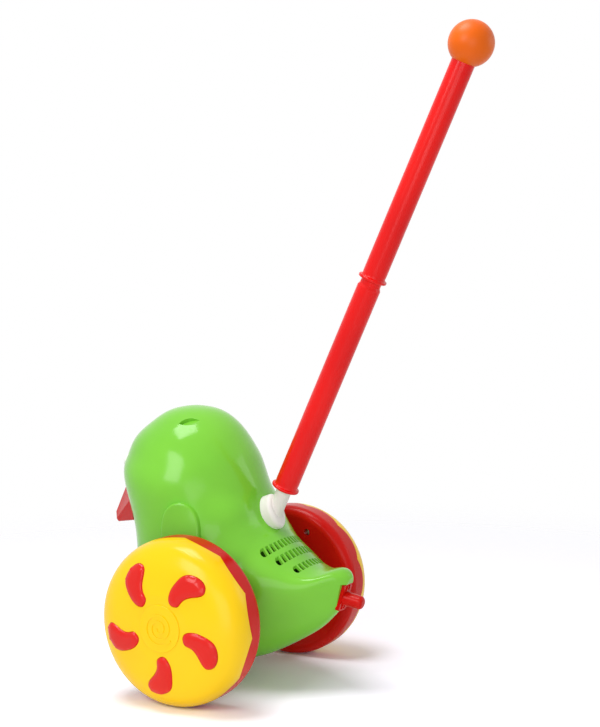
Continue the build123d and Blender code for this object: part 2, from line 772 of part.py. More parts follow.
# Ball on top: a hollow ball with a flat seat for the stick's end and a plug that goes inside it
stick_end = upper_start + upper_length
ball_up = stick_end - ball_sink + sqrt(ball_radius ** 2 - tube_top_radius ** 2)
ball_center = stick_foot + stick_up * ball_up
plug_radius = spigot_radius + spigot_gap - tube_wall - peg_gap
seat_radius = tube_top_radius + peg_gap
plug_foot = stick_end - plug_length
roof_radius = seat_radius + ball_wall
roof_top = stick_end + ball_wall
with BuildPart() as handle_ball:
    with BuildSketch(stick_plane):
        with Locations((0, ball_up)):
            Circle(ball_radius)
            Circle(ball_radius - ball_wall, mode=Mode.SUBTRACT)
        with Locations((ball_radius, ball_up)):
            Rectangle(2 * ball_radius, 2 * ball_radius, mode=Mode.INTERSECT)
    revolve(axis=stick_axis)
    seat = turned([(0, plug_foot), (seat_radius, plug_foot), (seat_radius, stick_end), (0, stick_end)])
    add(seat, mode=Mode.SUBTRACT)
    add(turned([
        (0, plug_foot), (plug_radius, plug_foot), (plug_radius, stick_end), (roof_radius, stick_end),
        (roof_radius, roof_top), (0, roof_top),
    ]))


def beak_section(x, top, bottom, half_width, slant):
    """The beak's section between two heights, as a face square to X or leaning by slant."""
    lean_back = radians(slant)
    height = (top - bottom) / cos(lean_back)
    left = [(a * half_width, b * height) for a, b in beak_outline_shares]
    right = [(-a * half_width, b * height) for a, b in reversed(beak_outline_shares)]
    plane = Plane(origin=(x, 0, bottom), x_dir=(0, 1, 0), z_dir=(cos(lean_back), 0, -sin(lean_back)))
    with BuildSketch(plane) as face:
        Polygon(*left, *right, align=None)
    return face.sketch


def beak_wedge(growth):
    """The beak from its hidden root to its blunt tip, or the same grown on all its sides."""
    tip_bottom = beak_tip_top - beak_tip_height
    tip_foot = beak_reach - beak_tip_height * tan(radians(beak_tip_slant))
    tip_width = beak_tip_half_width + growth
    with BuildPart() as wedge:
        add(beak_section(beak_root, beak_top + growth, beak_bottom - growth, beak_half_width + growth, 0))
        add(beak_section(tip_foot, beak_tip_top + growth, tip_bottom - growth, tip_width, beak_tip_slant))
        loft(ruled=True)
    return wedge.part


# Beak: a blunt wedge whose root sits in a pocket of the face, with a peg through its floor
peg_z = (beak_top + beak_bottom) / 2
with BuildPart() as beak:
    add(beak_wedge(0))
    shown_edges = beak.edges().filter_by(lambda edge: edge.center().X > beak_root + beak_round)
    fillet(shown_edges, beak_round)
    with BuildSketch(Plane(origin=(beak_root, 0, peg_z), x_dir=(0, 1, 0), z_dir=(-1, 0, 0))):
        Rectangle(beak_peg_width, beak_peg_height)
    extrude(amount=beak_peg_length)


def eye_plane(side, out):
    """A plane square to one eye at some distance from the middle of the head."""
    center_x, center_z = place(head_center_share)
    turn = radians(eye_turn)
    look = Vector(cos(turn), side * sin(turn), 0)
    origin = Vector(center_x, 0, center_z + eye_rise) + look * out
    return Plane(origin=origin, x_dir=(0, 0, 1), z_dir=look)


def eye_bar(side, radius, start, end):
    """A round bar along an eye's axis between two distances from the middle of the head."""
    with BuildPart() as bar:
        with BuildSketch(eye_plane(side, start)):
            Circle(radius)
        extrude(amount=end - start)
    return bar.part


# Eyes: black studs with a peg, both in one group
with BuildPart() as eyes:
    for side in (1, -1):
        with BuildPart(mode=Mode.PRIVATE) as eye:
            add(eye_bar(side, eye_radius, eye_seat, head_radius + eye_proud))
            look = eye_plane(side, 0)
            front = eye.faces().sort_by(Axis(look.origin, look.z_dir))[-1]
            fillet(front.edges(), eye_round)
            add(eye_bar(side, eye_peg_radius, eye_seat - eye_peg_length, eye_seat))
        add(eye.part)

# Tail hitch: a plate in a notch of the tail, a round stub behind it and a root held in the body
hitch_x, hitch_z = place(hitch_place_share)
hitch_center = Vector(hitch_x, 0, hitch_z)
turned_in = radians(hitch_tilt)
hitch_out = Vector(-cos(turned_in), 0, -sin(turned_in))


def hitch_plane(out):
    """A plane square to the hitch's plate at some height over its outer face."""
    return Plane(origin=hitch_center + hitch_out * out, x_dir=(0, 1, 0), z_dir=hitch_out)


def hitch_plate(growth, start, end):
    """The hitch's plate between two heights over its outer face."""
    with BuildPart() as plate:
        with BuildSketch(hitch_plane(start)):
            RectangleRounded(hitch_width + 2 * growth, hitch_height + 2 * growth, hitch_corner)
        extrude(amount=end - start)
    return plate.part


def hitch_root(growth):
    """The hitch's root with its head, which both halves of the body close on."""
    neck_end = hitch_thick + hitch_root_length - hitch_head_length
    with BuildPart() as root:
        with BuildSketch(hitch_plane(-neck_end)):
            Circle(hitch_root_radius + growth)
        extrude(amount=neck_end - hitch_thick)
        with BuildSketch(hitch_plane(-hitch_thick - hitch_root_length - growth)):
            Circle(hitch_head_radius + growth)
        extrude(amount=hitch_head_length + growth)
    return root.part


stub_fall = radians(stub_tilt)
stub_out = Vector(-cos(stub_fall), 0, -sin(stub_fall))
stub_start = hitch_center - Vector(0, 0, stub_drop) - stub_out * hitch_thick / 2
stub_end = stub_start + stub_out * (stub_length + hitch_thick / 2)
with BuildPart() as tail_hitch:
    add(hitch_plate(0, -hitch_thick, 0))
    with BuildSketch(hitch_plane(0)):
        with GridLocations(hitch_ridge_apart, 2 * hitch_ridge_place, 2, 2):
            Rectangle(hitch_ridge, hitch_ridge_length)
    extrude(amount=hitch_ridge)
    with BuildPart(mode=Mode.PRIVATE) as stub:
        with BuildSketch(Plane(origin=stub_start, z_dir=stub_out)):
            Circle(stub_radius)
        with BuildSketch(Plane(origin=stub_end, z_dir=stub_out)):
            Circle(stub_end_radius)
        loft()
        outer_rim = stub.edges().sort_by(Axis(hitch_center, stub_out))[-1]
        fillet(outer_rim, stub_round)
    add(stub.part)
    add(hitch_root(0))

# Roller under the breast, its pin with a head at both ends
roller_axis = Axis((roller_place, 0, roller_radius), (0, 1, 0))
with BuildPart() as front_roller:
    with BuildSketch(Plane(origin=(roller_place, 0, roller_radius), x_dir=(1, 0, 0), z_dir=(0, 0, 1))):
        with BuildLine():
            half = roller_half_width
            tread = roller_radius - roller_groove
            Polyline(
                (0, -half), (roller_radius - roller_edge, -half), (roller_radius, roller_edge - half),
                (roller_radius, -roller_edge), (tread, -roller_edge / 2), (tread, roller_edge / 2),
                (roller_radius, roller_edge), (roller_radius, half - roller_edge),
                (roller_radius - roller_edge, half), (0, half), (0, -half),
            )
        make_face()
    revolve(axis=roller_axis)
    bore = roller_pin_radius + running_gap
    add(along_y(roller_place, roller_radius, bore, -roller_half_width, roller_half_width), mode=Mode.SUBTRACT)

cheek_start = roller_half_width + cheek_gap
cheek_end = cheek_start + cheek_thick
with BuildPart() as roller_pin:
    add(along_y(roller_place, roller_radius, roller_pin_radius, -cheek_end, cheek_end))
    pin_end = cheek_end + pin_head_height
    for side in (1, -1):
        add(along_y(roller_place, roller_radius, pin_head_radius, cheek_end, pin_end, side))

# Steel weight in the breast
with BuildPart() as nose_weight:
    add(along_y(*weight_place, weight_radius, -weight_half_length, weight_half_length))
    chamfer(nose_weight.edges(), axle_chamfer)


def wing_pad(side):
    """One raised wing, cut from a larger form of the body and rounded along its rim."""
    top_x, top_z = place(wing_top_share)
    points = [(top_x + a * wing_width, top_z + b * wing_length) for a, b in wing_outline_shares]
    with BuildPart() as pad:
        with BuildSketch(upright(0)):
            with BuildLine():
                Spline(*points, periodic=True)
            make_face()
        extrude(amount=-side * body_half_width * 2)
        add(bird_form(-wing_raise), mode=Mode.INTERSECT)
        rim = pad.edges().filter_by(lambda edge: abs(edge.center().Y) > body_half_width / 2)
        fillet(rim, wing_round)
    return pad.part


def roller_well(growth):
    """A box over the roller, open below."""
    with BuildPart() as well:
        half = roller_radius + roller_room + growth
        top = 2 * roller_radius + roller_room + growth
        with BuildSketch(Plane.XY):
            with Locations((roller_place, 0)):
                Rectangle(2 * half, 2 * (cheek_start + growth))
        extrude(amount=top)
    return well.part


def cheek(side):
    """A plate beside the roller, from its pin up into the body."""
    top = 2 * roller_radius + roller_room + body_wall
    half = roller_radius + roller_room + body_wall
    y = cheek_start if side < 0 else cheek_end
    with BuildPart() as plate:
        with BuildSketch(upright(y * side)):
            with Locations((roller_place, roller_radius)):
                Circle(cheek_radius)
            Polygon(
                (roller_place - cheek_radius, roller_radius), (roller_place - half, top),
                (roller_place + half, top), (roller_place + cheek_radius, roller_radius), align=None,
            )
        extrude(amount=cheek_thick)
    return plate.part


def both_bars(shares, radius):
    """Bars along Y right through the body at a list of places."""
    with BuildPart() as bars:
        for share in shares:
            add(along_y(*place(share), radius, -body_half_width, body_half_width))
    return bars.part


def recess_prism(growth, start, end):
    """A block with the almond outline of the crown recess, square to the head."""
    x_share, y_share, z_share = recess_share
    center = Vector(x_share * body_reach, y_share * body_half_width, z_share * body_height)
    head_x, head_z = place(head_center_share)
    out = (center - Vector(head_x, 0, head_z)).normalized()
    turn = radians(recess_lean)
    plane = Plane(origin=center, x_dir=(-cos(turn), -sin(turn), 0), z_dir=out).rotated((0, recess_pitch, 0))
    half = recess_length / 2 + growth
    width = recess_width / 2 + growth
    with BuildPart() as block:
        with BuildSketch(plane.offset(start)):
            with BuildLine():
                ThreePointArc((-half, 0), (0, width), (half, 0))
                ThreePointArc((half, 0), (0, -width), (-half, 0))
            make_face()
        extrude(amount=end - start)
    return block.part


def vent_slots(ring_share, level_share, half_angle):
    """One curved vent slot about the head, upright, without the ribs that cross it."""
    head_x = head_center_share[0] * body_reach
    ring = ring_share * body_reach
    low = Plane(origin=(head_x, 0, level_share * body_height - vent_reach), x_dir=(-1, 0, 0), z_dir=(0, 0, 1))
    inset = half_angle - degrees(vent_width / 2 / ring)
    ribs_half = half_angle - vent_end_turn
    spaces = round(2 * ribs_half / vent_rib_turn)
    with BuildPart() as slots:
        with BuildSketch(low):
            with BuildLine():
                middle = CenterArc((0, 0), ring, -inset, 2 * inset)
            SlotArc(middle, vent_width)
            for k in range(spaces + 1):
                turn = ribs_half * (2 * k / spaces - 1)
                with Locations((ring * cos(radians(turn)), ring * sin(radians(turn)))):
                    Rectangle(2 * vent_width, vent_rib, rotation=turn, mode=Mode.SUBTRACT)
        extrude(amount=vent_reach + overrun)
    return slots.part


# Supports inside the body, all cut off in the middle of its wall, and those that stand out of it
stem_bore = stem_radius + peg_gap
sleeve_radius = stem_bore + sleeve_wall
hitch_back = -hitch_thick - hitch_root_length
boss_radius = bush_radius + axle_boss_wall
with BuildPart() as supports:
    sleeve_foot = -stem_depth - sleeve_floor
    add(turned([(0, sleeve_foot), (sleeve_radius, sleeve_foot), (sleeve_radius, 0), (0, 0)]))
    add(flange_prism(body_wall, -flange_sink - body_wall, 0))
    add(both_bars(body_screw_shares, body_boss_radius))
    add(both_bars(body_peg_shares, body_boss_radius))
    add(beak_wedge(body_wall))
    root_top = beak_top + body_wall
    root_bottom = beak_bottom - body_wall
    root = beak_section(beak_root, root_top, root_bottom, beak_half_width + body_wall, 0)
    add(extrude(root, amount=-body_wall, mode=Mode.PRIVATE))
    for side in (1, -1):
        add(eye_bar(side, eye_radius + body_wall, eye_seat - body_wall, head_radius))
        cup_start = weight_half_length - cup_overlap
        add(along_y(*weight_place, weight_radius + cup_wall, cup_start, body_half_width, side))
    with BuildSketch(hitch_plane(hitch_back - body_wall)):
        Circle(hitch_head_radius + body_wall)
    extrude(amount=body_wall - hitch_back)
    add(recess_prism(body_wall, -recess_depth - body_wall, overrun))
    add(roller_well(body_wall))
    add(along_y(reed_base_place, wheel_radius, reed_boss_radius, star_end, body_half_width))
    add(bird_form(body_wall / 2), mode=Mode.INTERSECT)
    for side in (1, -1):
        add(cheek(side))
        add(along_y(0, wheel_radius, boss_radius, boss_face - axle_boss_reach, boss_face, side))

# Everything that is cut from the body: vents, pockets, bores, the roller's well and screw holes
with BuildPart() as cuts:
    for row in zip(vent_ring_shares, vent_level_shares, vent_half_angles):
        add(vent_slots(*row))
    add(flange_prism(peg_gap, -flange_sink, flange_rise + overrun))
    hook_low = groove_low + peg_gap
    hook_high = -stem_groove_from - peg_gap
    hook_radius = groove_radius + peg_gap
    add(turned([
        (0, -stem_depth), (stem_bore, -stem_depth), (stem_bore, hook_low), (hook_radius, hook_low),
        (hook_radius, hook_high), (stem_bore, hook_high), (stem_bore, 0), (0, 0),
    ]))
    add(beak_wedge(peg_gap))
    with BuildSketch(Plane(origin=(beak_root, 0, peg_z), x_dir=(0, 1, 0), z_dir=(-1, 0, 0))):
        Rectangle(beak_peg_width + 2 * peg_gap, beak_peg_height + 2 * peg_gap)
    extrude(amount=beak_peg_length)
    add(hitch_plate(peg_gap, -hitch_thick, overrun))
    with BuildSketch(hitch_plane(-hitch_proud)):
        Rectangle(2 * hitch_width, hitch_height + 2 * peg_gap)
    extrude(amount=hitch_proud + overrun)
    add(hitch_root(peg_gap))
    add(recess_prism(0, -recess_depth, overrun))
    add(roller_well(0))
    add(along_y(*weight_place, weight_radius + peg_gap, -weight_half_length, weight_half_length))
    add(along_y(roller_place, roller_radius, roller_pin_radius + press_gap, -cheek_end, cheek_end))
    reed_hole_end = star_end + reed_screw_bite + face_gap
    add(along_y(reed_base_place, wheel_radius, screw_shank_radius + press_gap, 0, reed_hole_end))
    for side in (1, -1):
        add(eye_bar(side, eye_radius + peg_gap, eye_seat, head_radius + overrun))
        hole_start = eye_seat - eye_peg_length
        add(eye_bar(side, eye_peg_radius + peg_gap, hole_start, eye_seat))
        bush_start = boss_face - bush_length
        add(along_y(0, wheel_radius, bush_radius + press_gap, bush_start, boss_face, side))
        add(along_y(0, wheel_radius, axle_radius + face_gap, star_end, boss_face, side))
    for share in body_screw_shares:
        x, z = place(share)
        add(along_y(x, z, body_well_radius, body_well_floor, body_half_width, -1))
        add(along_y(x, z, screw_shank_radius + shank_gap, 0, body_well_floor, -1))
        add(along_y(x, z, screw_shank_radius + press_gap, 0, body_screw_bite + face_gap))

# Whole body, drawn as one and cut at the midplane below
with BuildPart() as body:
    add(bird_outer)
    add(wing_pad(1))
    add(wing_pad(-1))
    add(bird_hollow, mode=Mode.SUBTRACT)
    add(supports.part)
    add(cuts.part, mode=Mode.SUBTRACT)

# Left half, with the sockets of the pegs
with BuildPart() as body_left:
    add(body.part)
    split(bisect_by=Plane(origin=(0, 0, 0), z_dir=(0, 1, 0)), keep=Keep.TOP)
    for share in body_peg_shares:
        depth = body_peg_length + face_gap
        add(along_y(*place(share), body_peg_radius + peg_gap, 0, depth), mode=Mode.SUBTRACT)

# Right half, with the pegs
with BuildPart() as body_right:
    add(body.part)
    split(bisect_by=Plane(origin=(0, 0, 0), z_dir=(0, 1, 0)), keep=Keep.BOTTOM)
    for share in body_peg_shares:
        add(along_y(*place(share), body_peg_radius, -body_peg_length, body_peg_length))

# Screws that close the body, all in one group
with BuildPart() as body_screws:
    for share in body_screw_shares:
        x, z = place(share)
        add(screw(x, z, body_well_floor, body_well_floor + body_screw_bite, -1))


def opposite(piece):
    """The same piece on the right side: turned half round, then turned on about the axle."""
    return piece.rotate(Axis.Z, 180).rotate(axle_line, wheel_phase)


pieces = {
    "body_left": body_left.part,
    "body_right": body_right.part,
    "body_screws": body_screws.part,
    "beak": beak.part,
    "eyes": eyes.part,
    "handle_socket": handle_socket.part,
    "lower_tube": lower_tube.part,
    "upper_tube": upper_tube.part,
    "handle_ball": handle_ball.part,
    "tail_hitch": tail_hitch.part,
    "nose_weight": nose_weight.part,
    "front_roller": front_roller.part,
    "roller_pin": roller_pin.part,
    "axle": axle.part,
    "push_nuts": push_nuts.part,
    "axle_bush_left": axle_bush_left.part,
    "axle_bush_right": opposite(axle_bush_left.part),
    "click_star": click_star.part,
    "click_reed": click_reed.part,
    "reed_screw": reed_screw.part,
    "wheel_inner_left": wheel_inner.part,
    "wheel_cap_left": wheel_cap.part,
    "petal_insert_left": petal_insert.part,
    "wheel_screws_left": wheel_screws.part,
    "wheel_inner_right": opposite(wheel_inner.part),
    "wheel_cap_right": opposite(wheel_cap.part),
    "petal_insert_right": opposite(petal_insert.part),
    "wheel_screws_right": opposite(wheel_screws.part),
}

# The origin goes to the floor under the middle between the tip of the beak and the ball
toy_middle = (beak.part.bounding_box().max.X + ball_center.X - ball_radius) / 2
for name, piece in pieces.items():
    moved = Pos(-toy_middle, 0, 0) * piece
    moved.label = name
    export_step(moved, "parts/" + name + ".step")
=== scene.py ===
# %% [markdown]
# A push-along bird toy on two big flower wheels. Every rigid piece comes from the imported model,
# with its size and place already right. This lesson loads it, gives each piece the plastic or
# steel it is made of, and photographs it on a pale studio floor.

import bmesh
import bpy
from math import cos, hypot, radians, sin
from mathutils import Matrix, Vector, kdtree


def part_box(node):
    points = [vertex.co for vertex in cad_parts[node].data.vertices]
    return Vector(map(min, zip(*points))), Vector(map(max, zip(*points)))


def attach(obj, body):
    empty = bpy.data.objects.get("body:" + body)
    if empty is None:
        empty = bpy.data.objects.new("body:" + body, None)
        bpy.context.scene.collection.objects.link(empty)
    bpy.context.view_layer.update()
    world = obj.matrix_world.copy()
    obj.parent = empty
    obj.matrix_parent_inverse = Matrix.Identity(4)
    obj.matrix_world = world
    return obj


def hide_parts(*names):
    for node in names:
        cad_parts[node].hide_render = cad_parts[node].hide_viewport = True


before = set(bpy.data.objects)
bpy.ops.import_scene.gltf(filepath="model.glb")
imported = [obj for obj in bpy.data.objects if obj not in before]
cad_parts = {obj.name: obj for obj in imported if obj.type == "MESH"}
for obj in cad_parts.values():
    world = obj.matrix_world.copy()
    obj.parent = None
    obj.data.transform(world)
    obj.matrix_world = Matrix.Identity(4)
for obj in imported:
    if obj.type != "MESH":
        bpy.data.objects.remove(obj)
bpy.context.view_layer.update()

# %% [markdown]
# A material in Blender is a tree of nodes, which is read from left to right. Nodes that a script
# makes all land on one spot. They could each be given a place by hand, but a helper that counts
# how many steps a node is from the end of the tree does it for every tree in this lesson.

# %% Helpers for a node tree
column_width = 260
row_height = 340


def lay_out(tree):
    """Sets the nodes in columns, so that the tree can be read in the shader editor."""
    steps = {node.name: 0 for node in tree.nodes}
    for _ in tree.nodes:
        for link in tree.links:
            further = steps[link.to_node.name] + 1
            steps[link.from_node.name] = max(steps[link.from_node.name], further)
    filled = {}
    for node in tree.nodes:
        column = steps[node.name]
        node.location = (-column * column_width, -filled.get(column, 0) * row_height)
        filled[column] = filled.get(column, 0) + 1


def blank(name):
    """A new material, with its node tree and its shader."""
    material = bpy.data.materials.new(name)
    material.use_nodes = True
    tree = material.node_tree
    return material, tree, tree.nodes["Principled BSDF"]


print("node columns stand", column_width, "apart in the editor")

# %% [markdown]
# No finish on a real toy is quite even: its tone and its gloss both wander. An image could carry
# that, but a noise needs no file and has no seam. Each noise here reads Object coordinates, so
# the pattern sits still on the piece from every side. The tone runs between two near colours over
# a ramp, and the gloss, which needs no colour, is the same kind of noise stretched between two
# values.

# %% Helpers for an uneven finish
usual_low = 0.3
usual_high = 0.7


def noise(tree, scale, detail):
    """A noise of a given fineness, per metre, on the piece's own coordinates."""
    where = tree.nodes.new("ShaderNodeTexCoord")
    texture = tree.nodes.new("ShaderNodeTexNoise")
    texture.inputs["Scale"].default_value = scale
    texture.inputs["Detail"].default_value = detail
    tree.links.new(where.outputs["Object"], texture.inputs["Vector"])
    return texture.outputs["Fac"]


def two_toned(tree, shader, fac, deep, bright, deep_stop, bright_stop):
    """Lets a noise drive the shader's colour between a deep and a bright tone."""
    ramp = tree.nodes.new("ShaderNodeValToRGB")
    low, high = ramp.color_ramp.elements
    low.position, high.position = deep_stop, bright_stop
    low.color, high.color = (*deep, 1), (*bright, 1)
    tree.links.new(fac, ramp.inputs["Fac"])
    tree.links.new(ramp.outputs["Color"], shader.inputs["Base Color"])


def patchy(tree, shader, fac, smoothest, roughest):
    """Lets a noise drive the shader's roughness between two values."""
    stretch = tree.nodes.new("ShaderNodeMapRange")
    stretch.inputs["From Min"].default_value = usual_low
    stretch.inputs["From Max"].default_value = usual_high
    stretch.inputs["To Min"].default_value = smoothest
    stretch.inputs["To Max"].default_value = roughest
    tree.links.new(fac, stretch.inputs["Value"])
    tree.links.new(stretch.outputs["Result"], shader.inputs["Roughness"])


print("a noise is taken to run from", usual_low, "to", usual_high)

# %% [markdown]
# The bird, its wheels and its stick are moulded plastic. The melt leaves slow drifts of tone,
# handling dulls the gloss in patches, and the mould's polish leaves the faintest ripple. That
# ripple is far too fine to model, so a bump tilts the light on the surface instead. The shine says
# how strongly the surface mirrors the studio.

# %% A helper for moulded plastic
ripple_height = 0.00006
ripple_strength = 0.25
plastic_ior = 1.5


def moulded(name, bright, deep, roughness, shine):
    """Plastic whose colour drifts between two tones, with patchy gloss and a fine ripple."""
    material, tree, shader = blank(name)
    drift = noise(tree, scale=9.0, detail=3.0)
    two_toned(tree, shader, drift, deep, bright, deep_stop=0.36, bright_stop=0.62)
    handling = noise(tree, scale=38.0, detail=5.0)
    patchy(tree, shader, handling, smoothest=roughness - 0.04, roughest=roughness + 0.05)
    bump = tree.nodes.new("ShaderNodeBump")
    bump.inputs["Strength"].default_value = ripple_strength
    bump.inputs["Distance"].default_value = ripple_height
    tree.links.new(noise(tree, scale=900.0, detail=3.0), bump.inputs["Height"])
    tree.links.new(bump.outputs["Normal"], shader.inputs["Normal"])
    shader.inputs["IOR"].default_value = plastic_ior
    shader.inputs["Specular IOR Level"].default_value = shine
    lay_out(tree)
    return material


print("the mould's ripple is", ripple_height, "m high")

# %% [markdown]
# Each plastic is one row: its bright and its deep tone, how rough it is and how much it shines.
# Colours are written as a screen shows them, because that is how they are compared, while the
# shader reckons in linear light. The usual formula for screens turns one into the other.

# %% Mix the plastics
def screen(red, green, blue):
    """A colour as seen on a screen, 0 to 255, turned into the linear light the shader wants."""
    def linear(value):
        value = value / 255
        return value / 12.92 if value <= 0.04045 else ((value + 0.055) / 1.055) ** 2.4
    return (linear(red), linear(green), linear(blue))


plastics = [
    # name, bright tone, deep tone, roughness, shine
    ("leaf_green_plastic", (124, 202, 58), (114, 192, 50), 0.17, 0.3),
    ("sun_yellow_plastic", (246, 202, 8), (240, 193, 5), 0.22, 0.25),
    ("poppy_red_plastic", (216, 20, 8), (202, 14, 6), 0.17, 0.34),
    ("cherry_red_plastic", (206, 22, 12), (192, 15, 10), 0.24, 0.14),
    ("signal_red_plastic", (234, 18, 14), (222, 12, 12), 0.22, 0.25),
    ("satin_orange_plastic", (240, 112, 6), (230, 98, 2), 0.36, 0.25),
    ("chalk_white_plastic", (240, 235, 230), (230, 225, 220), 0.35, 0.25),
    ("ink_black_plastic", (28, 28, 30), (20, 20, 22), 0.2, 0.5),
    ("milk_white_plastic", (228, 228, 222), (216, 216, 210), 0.4, 0.25),
    ("eye_plastic", (244, 243, 240), (238, 237, 233), 0.2, 0.25),
]
finishes = {}
for name, bright, deep, roughness, shine in plastics:
    finishes[name] = moulded(name, screen(*bright), screen(*deep), roughness, shine)
print("mixed", len(finishes), "plastics")

# %% [markdown]
# Each eye is a white stud whose middle is printed black. A disc of its own would have to be set
# into the stud, while a print only needs a rule: a point that is nearer to the eye's axis than the
# pupil's radius is black. The cross product of a point's offset with the axis, which is one long,
# is as long as that distance. Folding the coordinates over the bird's midplane lets one rule serve
# both eyes.

# %% Print the pupils on the eyes
eye_face = (0.167824, 0.026148, 0.202001)
eye_axis = (0.92718, 0.37461, 0.0)
pupil_radius = 0.005
print_blur = 0.00015
pupil_black = (*screen(24, 24, 26), 1)


def vector_math(tree, operation, first, second=None):
    """One step of sums on a vector, with a fixed second vector where it needs one."""
    step = tree.nodes.new("ShaderNodeVectorMath")
    step.operation = operation
    tree.links.new(first, step.inputs[0])
    if second:
        step.inputs[1].default_value = second
    return step.outputs["Value" if operation == "LENGTH" else "Vector"]


tree = finishes["eye_plastic"].node_tree
shader = tree.nodes["Principled BSDF"]
where = tree.nodes.new("ShaderNodeTexCoord")
folded = vector_math(tree, "ABSOLUTE", where.outputs["Object"])
offset = vector_math(tree, "SUBTRACT", folded, eye_face)
away = vector_math(tree, "LENGTH", vector_math(tree, "CROSS_PRODUCT", offset, eye_axis))
rim = tree.nodes.new("ShaderNodeMapRange")
rim.inputs["From Min"].default_value = pupil_radius - print_blur
rim.inputs["From Max"].default_value = pupil_radius + print_blur
printed = tree.nodes.new("ShaderNodeMix")
printed.data_type = "RGBA"
inside, outside = [socket for socket in printed.inputs if socket.type == "RGBA"]
result, = [socket for socket in printed.outputs if socket.type == "RGBA"]
inside.default_value = pupil_black
stud_tone = shader.inputs["Base Color"].links[0].from_socket
tree.links.new(away, rim.inputs["Value"])
tree.links.new(rim.outputs["Result"], printed.inputs["Factor"])
tree.links.new(stud_tone, outside)
tree.links.new(result, shader.inputs["Base Color"])
lay_out(tree)
print("printed both pupils with a radius of", pupil_radius, "m")

# %% [markdown]
# The axle, the roller's pin and the screws are zinc-plated steel, while the weight in the breast
# and the push nuts are plainer and duller. One flat grey would look like paint, so the gloss
# varies finely and the tone has darker spots, where the plating is thin.

# %% Make the two steels
def steel(name, bright, dull, roughness):
    """Steel with finely uneven gloss and spots of duller metal."""
    material, tree, shader = blank(name)
    spots = noise(tree, scale=260.0, detail=4.0)
    two_toned(tree, shader, spots, dull, bright, deep_stop=0.4, bright_stop=0.6)
    grain = noise(tree, scale=700.0, detail=2.0)
    patchy(tree, shader, grain, smoothest=roughness - 0.08, roughest=roughness + 0.1)
    shader.inputs["Metallic"].default_value = 1.0
    lay_out(tree)
    return material


steels = [
    # name, bright tone, dull tone, roughness
    ("zinc_plated_steel", (196, 198, 202), (160, 163, 168), 0.32),
    ("plain_steel", (150, 152, 156), (112, 114, 118), 0.42),
]
for name, bright, dull, roughness in steels:
    finishes[name] = steel(name, screen(*bright), screen(*dull), roughness)
print("made", len(steels), "steels")

# %% [markdown]
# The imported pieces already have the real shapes, so each keeps its mesh and only gets its finish.
# The table lists the pieces under what they are made of, as a maker's list of parts would.

# %% Give every piece its material
made_of = {
    "leaf_green_plastic": ["body_left", "body_right"],
    "sun_yellow_plastic": ["wheel_cap_left", "wheel_cap_right"],
    "poppy_red_plastic": ["petal_insert_left", "petal_insert_right"],
    "cherry_red_plastic": ["beak", "tail_hitch", "wheel_inner_left", "wheel_inner_right"],
    "signal_red_plastic": ["lower_tube", "upper_tube"],
    "satin_orange_plastic": ["handle_ball"],
    "chalk_white_plastic": ["handle_socket"],
    "ink_black_plastic": ["front_roller"],
    "milk_white_plastic": ["axle_bush_left", "axle_bush_right", "click_star", "click_reed"],
    "eye_plastic": ["eyes"],
    "zinc_plated_steel": ["axle", "roller_pin", "body_screws", "reed_screw",
                          "wheel_screws_left", "wheel_screws_right"],
    "plain_steel": ["nose_weight", "push_nuts"],
}
finish_of = {piece: finishes[name] for name, pieces in made_of.items() for piece in pieces}
for name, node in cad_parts.items():
    for slot in node.material_slots:
        slot.material = finish_of[name]
    if not node.material_slots:
        node.data.materials.append(finish_of[name])
print("dressed", len(finish_of), "pieces")

# %% [markdown]
# The real petals are soft pillows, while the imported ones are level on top. To pillow a petal, its
# top has to be told from the plate behind it. The yellow cap helps: it is round, so its height over
# the midplane depends only on the distance from the axle, and a petal's top stands proud of it.

# %% Measure the domed caps
ring_width = 0.001
axle_low, axle_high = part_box("axle")
axle_x = (axle_low.x + axle_high.x) / 2
axle_z = (axle_low.z + axle_high.z) / 2


def ring_of(vertex):
    """Which ring about the axle a point lies in, counted from the middle."""
    return round(hypot(vertex.co.x - axle_x, vertex.co.z - axle_z) / ring_width)


def dome_profile(cap, side):
    """The cap's height over the midplane, for each ring about the axle."""
    crest = {}
    for vertex in cap.data.vertices:
        ring = ring_of(vertex)
        crest[ring] = max(crest.get(ring, 0), side * vertex.co.y)
    return crest


left_profile = dome_profile(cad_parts["wheel_cap_left"], 1)
right_profile = dome_profile(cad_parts["wheel_cap_right"], -1)
print("measured", len(left_profile), "rings on the left and", len(right_profile), "on the right")

# %% [markdown]
# How far a point falls depends on its distance from the nearest petal wall, so the middle of a
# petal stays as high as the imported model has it. The petals could be sculpted by hand, but a rule
# keeps all ten of them alike. A tree of the walls' points finds the nearest one quickly.

# %% A helper that lets the petals fall
fall = 0.0018
fall_width = 0.0062
proud_least = 0.0002
wall_highest = 0.0012
wall_slope = 0.2
out_of_reach = 1.0


def fall_towards_walls(plate, crest, side):
    """Lowers what stands proud of the cap, most of all beside the petals' walls."""
    def proud(vertex):
        return side * vertex.co.y - crest.get(ring_of(vertex), out_of_reach)

    steep = [face for face in plate.faces if abs(face.normal.y) < wall_slope]
    corners = dict.fromkeys(vertex for face in steep for vertex in face.verts)
    walls = [vertex for vertex in corners if -proud_least < proud(vertex) < wall_highest]
    outline = kdtree.KDTree(len(walls))
    for index, vertex in enumerate(walls):
        outline.insert((vertex.co.x, 0, vertex.co.z), index)
    outline.balance()
    for vertex in [vertex for vertex in plate.verts if proud(vertex) > proud_least]:
        inward = outline.find((vertex.co.x, 0, vertex.co.z))[2] / fall_width
        vertex.co.y -= side * fall * (1 - min(1, inward)) ** 2
    return len(walls)


print("petals fall by up to", fall, "m within", fall_width, "m of their walls")

# %% [markdown]
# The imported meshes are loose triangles, so each plate is copied and its doubles are merged before
# it is shaped. Edges flatter than the crease are then smoothed. The copy rides on the wheels and
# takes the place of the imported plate.

# %% Pillow both petal plates
crease = radians(35)
merge_distance = 0.000001


